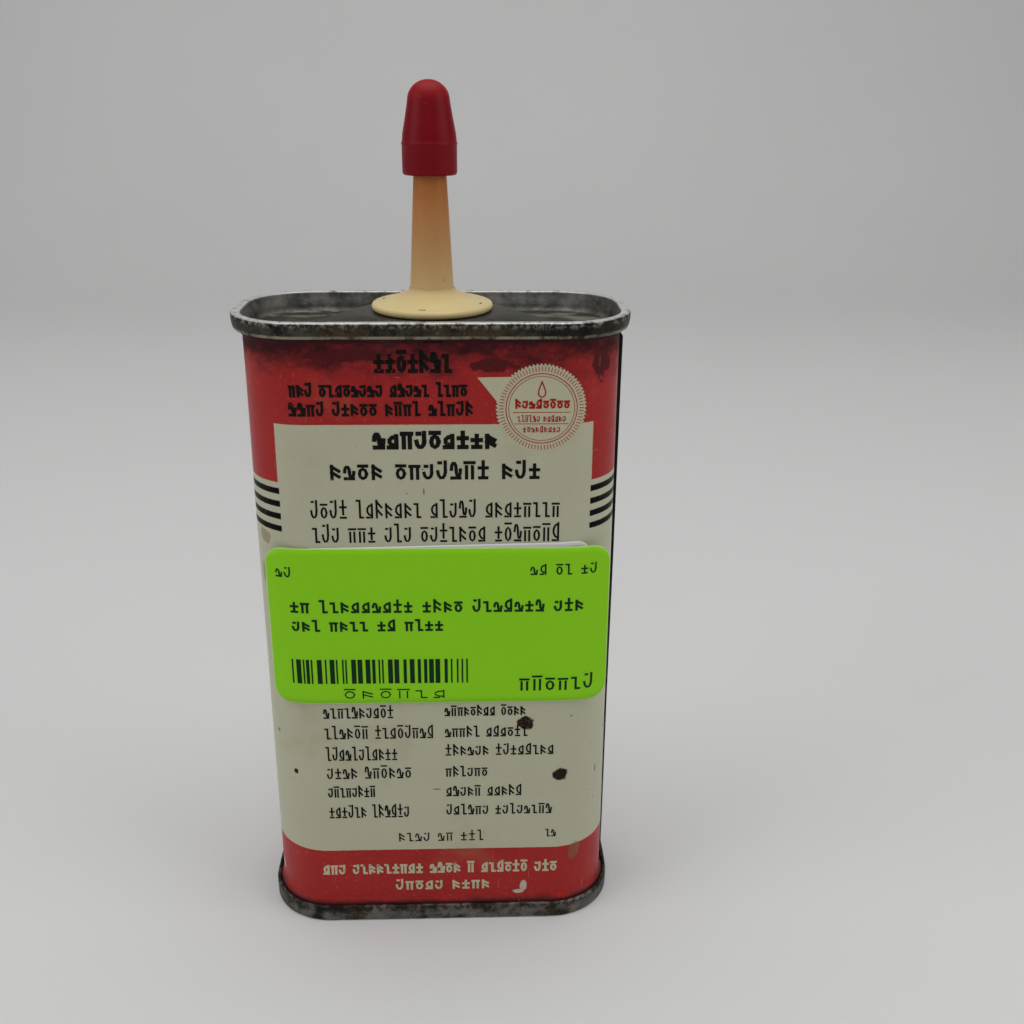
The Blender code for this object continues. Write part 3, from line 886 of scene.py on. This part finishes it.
def make_spout(material):
    tip = spout_high.z
    plug_top = SEAT_Z - SHEET
    rolled = (FLANGE_RADIUS - FLANGE_EDGE, FLANGE_Z + FLANGE_EDGE)
    # from the tip down to the flange's rim
    corners = (
        (1.9, 28.6), (2.46, 19.0), (3.25, 3.9), (3.4, 3.3), (3.7, 2.8), (4.3, 2.45), (5.25, 2.1),
        (6.6, 1.62), (7.5, 1.26), (8.0, 1.17), (8.4, 1.22),
    )
    outside = profile(((1.7, 0), (1.84, -0.08)), tip) + smooth_profile(profile(corners, FLANGE_Z), 5)
    outside += arc(rolled, FLANGE_EDGE, 80, -90, 10)
    plug = [(5.95 * MM, FLANGE_Z)]
    plug += profile(((5.95, -0.3), (6.08, -0.6), (6.08, -0.9), (5.85, -1.4)), plug_top)
    inside = profile(((5.65, 0), (4.9, 0)), spout_low.z)
    inside += profile(((4.9, -0.2), (2.5, 2.1), (2.2, 3.4), (1.63, 18.5)), FLANGE_Z)
    inside.append((0.9 * MM, tip))
    points, faces = turned(outside + plug + inside, closed=True)
    return new_piece("spout_nozzle", points, faces, material, "spout", ["spout"])


def make_flange_marks(material):
    """Four short slits moulded in the flange, filled with dirt."""
    low, high = FLANGE_Z + 1.0 * MM, FLANGE_Z + 1.25 * MM
    inner, outer = 7.45 * MM, 7.75 * MM
    points, faces = [], []
    steps = 4
    spread = 7.5  # degrees round the flange
    for bearing in (-17, -99, -195, -285):
        start = len(points)
        for i in range(steps + 1):
            angle = math.radians(bearing + spread * (i / steps - 0.5))
            for radius, z in ((inner, low), (outer, low), (outer, high), (inner, high)):
                points.append((radius * math.cos(angle), radius * math.sin(angle), z))
        faces += bar_faces(start, steps + 1)
    new_piece("flange_marks", points, faces, material, "spout", ())


def make_cap(material):
    low, high = cap_low.z, cap_high.z
    radius, rise = 3.05 * MM, 2.8 * MM
    nose = high - rise
    outside = [(0.0, high)] + arc((0.0, nose), radius, 82, 2, 10, rise)
    outside += profile(((3.15, -0.6), (3.32, -1.55)), nose)
    flank = ((3.5, 3.2), (3.7, 2.2), (3.86, 1.3), (3.94, 0.5), (3.96, 0.15))
    ridge = ((4.03, 0.06), (4.07, -0.06), (4.06, -0.2), (4.0, -0.32))
    outside += profile(flank + ridge, COLLAR_Z)
    outside += profile(((4.0, 1.2), (3.99, 0.35), (3.93, 0.12), (3.8, 0)), low)
    inside = profile(((2.95, 0), (2.78, 0.25), (2.74, 0.6)), low)
    inside += profile(((2.15, 0.2),), spout_high.z) + profile(((1.4, -2.7), (0, -2.7)), high)
    points, faces = turned(outside + inside, closed=False)
    return new_piece("tip_cap_red", points, faces, material, "cap", ["tip_cap"])


# ---- labels ----


LABEL_CORNER = 2.9 * MM


class Sticker:
    """A label's place on the tin, read from its CAD node's box.

    face is how far its outer face stands off the wall, tilt how much it climbs to the right, and
    bends the radii by which its left and right ends go round the corners.
    """

    def __init__(self, node, face, tilt, bends):
        low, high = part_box(node)
        self.node, self.face, self.tilt, self.bends = node, face, tilt, bends
        self.left = -self.reach(-low.x, bends[0])
        self.right = self.reach(high.x, bends[1])
        self.middle = (self.left + self.right) / 2
        rise = abs(tilt) * ((self.right - self.left) / 2 - LABEL_CORNER)
        self.low, self.high = low.z + rise, high.z - rise

    def reach(self, x, bend):
        """Distance along the label of its point at x, where it bends round a corner."""
        return FLAT_X + bend * math.asin((x - FLAT_X) / (bend + self.face))

    def point(self, around, up, above=0.0):
        """A point of the outer face, or above it; up is measured along the tilted label."""
        up += self.tilt * (around - self.middle)
        ripple = 0.02 * MM * wobble(around, up, 0, 7 * MM, 3.0)
        offset = self.face + above + ripple + wall_drift(around, -HALF_DEPTH, up)
        past = max(0.0, abs(around) - FLAT_X)
        bend = self.bends[0] if around < 0 else self.bends[1]
        angle = past / bend
        x = min(abs(around), FLAT_X) + (bend + offset) * math.sin(angle)
        y = -(HALF_DEPTH - bend + (bend + offset) * math.cos(angle))
        return math.copysign(x, around), y, up


def make_label(name, sticker, thickness, material):
    """A thin label wrapped on the wall, with rounded corners."""
    left, right, corner = sticker.left, sticker.right, LABEL_CORNER
    curve = [corner * (1 - math.cos(math.pi / 2 * i / 6)) for i in range(7)]
    steps = 60
    span = right - left - 2 * corner
    columns = [left + reach for reach in curve]
    columns += [left + corner + span * i / steps for i in range(1, steps)]
    columns += [right - reach for reach in reversed(curve)]
    rows = 24
    points, arounds, ups = [], [], []
    for around in columns:
        end = min(around - left, right - around, corner)
        inset = corner - math.sqrt(max(0.0, corner**2 - (corner - end) ** 2))
        height = sticker.high - sticker.low - 2 * inset
        for i in range(rows + 1):
            up = sticker.low + inset + height * i / rows
            points.append(sticker.point(around, up, -thickness))
            arounds.append(around)
            ups.append(up)
    faces = []
    count = rows + 1
    for i in range(len(columns) - 1):
        for j in range(rows):
            a = i * count + j
            faces.append((a, a + count, a + count + 1, a + 1))
    label = new_piece(name, points, faces, material, "can", [sticker.node])
    add_wall_map(label, arounds, ups)
    return thicken(label, thickness, 1.0)


# ---- print: marks in no real alphabet ----


def bar(x0, y0, x1, y1):
    return [(x0, y0), (x1, y1)]


def bowl(x, y, radius_x, radius_y, start, end, steps=5):
    return arc((x, y), radius_x, start, end, steps, radius_y)


# Strokes of each mark in a cell one wide and one high
MARKS = (
    (bar(0.5, 0, 0.5, 1), bar(0.1, 1, 0.5, 1), bar(0.5, 0, 0.9, 0)),
    (bowl(0.45, 0.4, 0.38, 0.4, 180, 360), bar(0.83, 0.4, 0.83, 1), bar(0.2, 0.95, 0.35, 0.95)),
    (bar(0.15, 0, 0.15, 1), bar(0.15, 0.95, 0.85, 0.6), bar(0.15, 0.5, 0.85, 0.15)),
    (bar(0.1, 1, 0.9, 1), bowl(0.5, 0.38, 0.36, 0.38, 0, 360, 8)),
    (bowl(0.3, 0.55, 0.24, 0.4, 0, 180), bowl(0.75, 0.5, 0.22, 0.4, 180, 360), bar(0.1, 0, 0.9, 0)),
    (bar(0.85, 0, 0.85, 1), bowl(0.8, 0.55, 0.65, 0.4, 90, 270), bar(0.1, 0, 0.5, 0)),
    (bar(0.2, 0, 0.2, 0.7), bar(0.8, 0, 0.8, 0.7), bar(0.05, 0.95, 0.95, 0.95)),
    (bar(0.5, 0.2, 0.5, 1), bar(0.1, 0.62, 0.9, 0.62), bar(0.15, 0, 0.85, 0)),
)


def refined(line, longest=0.8 * MM):
    """A line of (around, up) points with no piece longer than longest."""
    points = [line[0]]
    for (x0, y0), (x1, y1) in zip(line, line[1:]):
        steps = max(1, math.ceil(math.hypot(x1 - x0, y1 - y0) / longest))
        points += [(x0 + (x1 - x0) * i / steps, y0 + (y1 - y0) * i / steps) for i in range(1, steps + 1)]
    return points


class Print:
    """Gathers thin slabs of ink on a surface, and makes one mesh of them.

    surface(around, up, above) gives the point above a place; low and high are the ink's two faces.
    """

    def __init__(self, surface, low, high):
        self.surface, self.low, self.high = surface, low * MM, high * MM
        self.points, self.faces = [], []

    def strip(self, right_side, left_side):
        """A slab between two lines of as many (around, up) points that run the same way."""
        start = len(self.points)
        for right, left in zip(right_side, left_side):
            self.points.append(self.surface(*right, self.low))
            self.points.append(self.surface(*right, self.high))
            self.points.append(self.surface(*left, self.high))
            self.points.append(self.surface(*left, self.low))
        self.faces += bar_faces(start, len(right_side))

    def stroke(self, line, weight):
        """A line of ink along (around, up) points, as wide as weight and that much longer."""
        half = weight / 2
        line = refined(line)
        right_side, left_side = [], []
        for i, (x, y) in enumerate(line):
            before, after = line[max(i - 1, 0)], line[min(i + 1, len(line) - 1)]
            dx, dy = after[0] - before[0], after[1] - before[1]
            length = math.hypot(dx, dy) or 1.0
            dx, dy = dx / length * half, dy / length * half
            if i == 0:
                x, y = x - dx, y - dy
            if i == len(line) - 1:
                x, y = x + dx, y + dy
            right_side.append((x + dy, y - dx))
            left_side.append((x - dy, y + dx))
        self.strip(right_side, left_side)

    def ring(self, centre, inner, outer, count):
        """A flat ring of ink."""
        self.strip(circle(centre, outer, count), circle(centre, inner, count))

    def line_of_marks(self, left, right, low, high, weight, words, draw):
        """Marks set in words inside a box, in millimetres; words gives how many marks each word has."""
        left, right = (left + weight / 2) * MM, (right - weight / 2) * MM
        low, high = (low + weight / 2) * MM, (high - weight / 2) * MM
        wide, space = 0.72, 0.75
        pitch = (right - left) / (sum(words) + space * (len(words) - 1) - 1 + wide)
        at = left
        for count in words:
            for _ in range(count):
                mark = draw.choice(MARKS)
                tall = (high - low) * (1.0 if draw.random() < 0.35 else 0.78)
                for line in mark:
                    placed = [(at + x * pitch * wide, low + y * tall) for x, y in line]
                    self.stroke(placed, weight * MM)
                at += pitch
            at += space * pitch

    def make(self, name, material):
        new_piece(name, self.points, self.faces, material, "can", (), 30.0)


# How far the ink's two faces stand off the wall, in millimetres
INK_FACES = (0.012, 0.03)


def make_wall_print(black, lightened, pale, red):
    """The tin's printing: headings, two columns of words, foot lines and a round badge."""
    draw = random.Random(11)
    top = Print(on_wall, *INK_FACES)
    for line in (
        (-8.33, 3.18, 96.48, 99.87, 0.62, (7,)),
        (-20.73, 5.32, 92.91, 95.18, 0.42, (3, 8, 5, 4)),
        (-20.92, 6.17, 90.04, 92.34, 0.42, (4, 5, 4, 5)),
    ):
        top.line_of_marks(*line, draw)
    top.make("wall_print_top", lightened)

    text = Print(on_wall, *INK_FACES)
    for line in (
        (-8.93, 9.69, 84.96, 87.82, 0.66, (9,)),
        (-15.44, 16.14, 80.21, 83.23, 0.5, (4, 7, 3)),
        (-18.58, 19.12, 74.09, 77.11, 0.32, (4, 7, 5, 8)),
        (-18.51, 19.21, 70.15, 73.25, 0.32, (3, 3, 3, 7, 7)),
        (-7.08, 7.42, 15.34, 17.47, 0.24, (4, 2, 3)),
        (17.77, 19.68, 15.87, 17.77, 0.22, (2,)),
    ):
        text.line_of_marks(*line, draw)
    # where each line of the two columns ends, its low and high edge, and its words
    left_column = (
        (-7.07, 39.41, 41.8, (10,)), (-0.68, 35.55, 38.1, (6, 8)), (-6.66, 31.46, 34.14, (11,)),
        (-4.46, 27.94, 30.51, (4, 6)), (-10.53, 24.33, 26.64, (8,)), (-4.99, 20.25, 22.91, (6, 6)),
    )
    right_column = (
        (14.32, 39.63, 41.69, (8, 4)), (14.68, 35.68, 37.79, (5, 6)), (19.02, 32.17, 34.38, (6, 8)),
        (8.12, 28.1, 30.17, (6,)), (13.81, 24.26, 26.47, (5, 5)), (18.9, 20.58, 22.72, (6, 8)),
    )
    for start, column in ((-18.5, left_column), (1.05, right_column)):
        for right, low, high, words in column:
            text.line_of_marks(start, right, low, high, 0.28, words, draw)
    text.make("wall_print_black", black)

    foot = Print(on_wall, *INK_FACES)
    foot.line_of_marks(-20.17, 20.0, 8.75, 11.2, 0.4, (3, 9, 4, 1, 6, 3), draw)
    foot.line_of_marks(-7.88, 8.43, 5.32, 7.6, 0.38, (5, 4), draw)
    foot.make("wall_print_pale", pale)
    make_badge(pale, red, draw)


def make_badge(pale, red, draw):
    """A plain round badge with a pennant: a toothed pale disc, thin rings, a drop and rows of marks."""
    middle = (16.1, 91.1)
    centre = (middle[0] * MM, middle[1] * MM)
    disc = Print(on_wall, 0.014, 0.022)
    edge, bands, count = 6.5 * MM, 9, 72
    for i in range(bands):
        disc.ring(centre, edge * (i / bands + 0.001), edge * (i + 1) / bands, count)
    teeth = list(zip(circle(centre, edge, 2 * count), circle(centre, edge + 0.22 * MM, 2 * count)))
    for i in range(0, 2 * count, 2):
        (in_a, out_a), (in_b, out_b) = teeth[i], teeth[i + 1]
        disc.strip([out_a, out_b], [in_a, in_b])
    tip = (6.7 * MM, 95.8 * MM)
    steps = 8
    under = [(tip[0] + i / steps * 5.4 * MM, tip[1] - i / steps * 6.9 * MM) for i in range(steps + 1)]
    over = [(tip[0] + i / steps * 6.6 * MM, tip[1] + i / steps * 0.1 * MM) for i in range(steps + 1)]
    disc.strip(under, over)
    disc.make("badge_disc", pale)

    lines = Print(on_wall, 0.034, 0.042)
    for radius, weight in ((5.25, 0.13), (4.85, 0.08)):
        lines.ring(centre, (radius - weight / 2) * MM, (radius + weight / 2) * MM, 60)
    for inner, outer in zip(circle(centre, 5.65 * MM, 80)[1:], circle(centre, 6.25 * MM, 80)[1:]):
        lines.stroke([inner, outer], 0.11 * MM)
    drop = []
    for i in range(25):
        angle = 2 * math.pi * i / 24
        pinch = math.sin(angle / 2) ** 1.6
        x = centre[0] + 0.75 * MM * math.sin(angle) * pinch
        drop.append((x, centre[1] + 2.9 * MM - 1.15 * MM * math.cos(angle)))
    lines.stroke([(x, 2 * (centre[1] + 2.9 * MM) - y) for x, y in drop], 0.2 * MM)
    for left, right, low, high, weight, words in (
        (-4.0, 4.2, 0.0, 1.5, 0.32, (8,)),
        (-3.6, 3.6, -2.0, -0.95, 0.15, (6, 6)),
        (-2.8, 2.8, -3.6, -2.6, 0.15, (9,)),
    ):
        place = (middle[0] + left, middle[0] + right, middle[1] + low, middle[1] + high)
        lines.line_of_marks(*place, weight, words, draw)
    for up, half in ((-0.55, 4.2), (-2.3, 3.9)):
        height = centre[1] + up * MM
        lines.stroke([(centre[0] - half * MM, height), (centre[0] + half * MM, height)], 0.1 * MM)
    lines.make("badge_lines", red)


def make_label_print(sticker, material):
    """The shop label's thermal print: word marks, a row of plain bars that encodes nothing, a price."""
    draw = random.Random(23)
    marks = Print(sticker.point, 0.012, 0.028)
    for line in (
        (-24.6, -21.95, 64.35, 66.15, 0.26, (2,)),
        (14.64, 25.2, 64.65, 66.5, 0.26, (2, 2, 2)),
        (-22.65, 23.2, 58.4, 60.7, 0.38, (2, 9, 4, 7, 3)),
        (-22.55, 1.26, 55.2, 57.3, 0.38, (3, 4, 2, 4)),
        (-15.08, 1.47, 43.2, 45.0, 0.22, (6,)),
        (13.06, 25.2, 44.35, 47.2, 0.36, (6,)),
    ):
        marks.line_of_marks(*line, draw)
    at, end, low, high = -22.9, 4.77, 45.95, 50.25
    while at < end:
        width = draw.choice((0.25, 0.25, 0.5, 0.75))
        half = width / 2
        middle = (at + half) * MM
        marks.stroke([(middle, (low + half) * MM), (middle, (high - half) * MM)], width * MM)
        at += width + draw.choice((0.25, 0.3, 0.5, 0.7))
    marks.make("label_print", material)


# ---- stage, light and camera ----


def make_stage(material):
    """A pale floor that sweeps up into a backdrop behind the tin."""
    foot, bend, half_width, height = 0.55, 0.5, 2.2, 2.2
    line = [(-1.2, 0.0), (foot, 0.0)]
    for i in range(1, 16):
        angle = 0.1 * i
        line.append((foot + bend * math.sin(angle), bend - bend * math.cos(angle)))
    line.append((foot + bend, height))
    points = [(x, y, TIN_FOOT + z) for y, z in line for x in (-half_width, half_width)]
    faces = [(2 * i, 2 * i + 1, 2 * i + 3, 2 * i + 2) for i in range(len(line) - 1)]
    new_mesh("floor", points, faces, material)


def make_light(name, place, target, size, power):
    data = bpy.data.lights.new(name, "AREA")
    data.shape = "RECTANGLE"
    data.size, data.size_y = size
    data.energy = power
    lamp = put_in_scene(name, data)
    lamp.location = place
    lamp.rotation_euler = (Vector(target) - Vector(place)).to_track_quat("-Z", "Y").to_euler()


def make_lights():
    world = bpy.data.worlds.new("studio")
    world.use_nodes = True
    background = world.node_tree.nodes["Background"]
    background.inputs["Color"].default_value = (1.0, 1.0, 1.0, 1.0)
    background.inputs["Strength"].default_value = 0.13
    bpy.context.scene.world = world
    middle = (0, 0, TIN_TOP / 2)
    make_light("top_soft", (0, 0, 0.9), middle, (1.0, 0.8), 4.75)
    make_light("left_soft", (-0.8, -0.3, 0.45), middle, (0.6, 0.7), 2.1)
    make_light("right_soft", (0.8, -0.3, 0.45), middle, (0.6, 0.7), 1.95)
    make_light("front_soft", (0, -0.9, 0.75), middle, (0.6, 0.5), 0.92)


def make_camera():
    data = bpy.data.cameras.new("camera")
    data.sensor_width = 36.0
    data.lens = 39.82
    data.clip_start = 0.005
    camera = put_in_scene("camera", data)
    camera.location = (0.00573, -0.17208, 0.13604)
    yaw, pitch, roll = 0.0381, 0.3645, 0.0064
    level = math.cos(pitch)
    view = Vector((math.sin(yaw) * level, math.cos(yaw) * level, -math.sin(pitch)))
    camera.rotation_mode = "QUATERNION"
    camera.rotation_quaternion = view.to_track_quat("-Z", "Y") @ Quaternion((0, 0, 1), roll)
    bpy.context.scene.camera = camera
    bpy.context.scene.view_settings.view_transform = "Standard"


# ---- build ----


def build():
    make_wall(printed_tin())
    tin = worn_tinplate()
    make_lid(tin)
    make_base(tin)
    make_spout(aged_plastic())
    make_flange_marks(dark_compound())
    make_cap(red_plastic())

    film = Sticker("under_label", 0.13 * MM, 0.017, (CORNER, CORNER))
    make_label("old_label_film", film, 0.06 * MM, pale_film(film))
    shop = Sticker("price_label", 0.28 * MM, -0.002, (16.5 * MM, 24.3 * MM))
    make_label("shop_label", shop, 0.08 * MM, green_paper(shop))
    thermal = ink("thermal_ink", (0.006, 0.03, 0.012), (0.05, 0.14, 0.02), 0.0)
    make_label_print(shop, thermal)

    black = ink("black_ink", BLACK, CREAM, 0.03)
    lightened = ink("faded_ink", BLACK, RED, 0.10)
    pale = ink("pale_ink", CREAM, RED, 0.05)
    red = ink("red_ink", RED, CREAM, 0.05)
    make_wall_print(black, lightened, pale, red)

    for node, material in (
        ("side_seam_solder", dull_solder()),
        ("top_seam_compound", dark_compound()),
        ("bottom_seam_compound", dark_compound()),
    ):
        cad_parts[node].material_slots[0].material = material

    make_stage(pale_floor())
    make_lights()
    make_camera()


build()
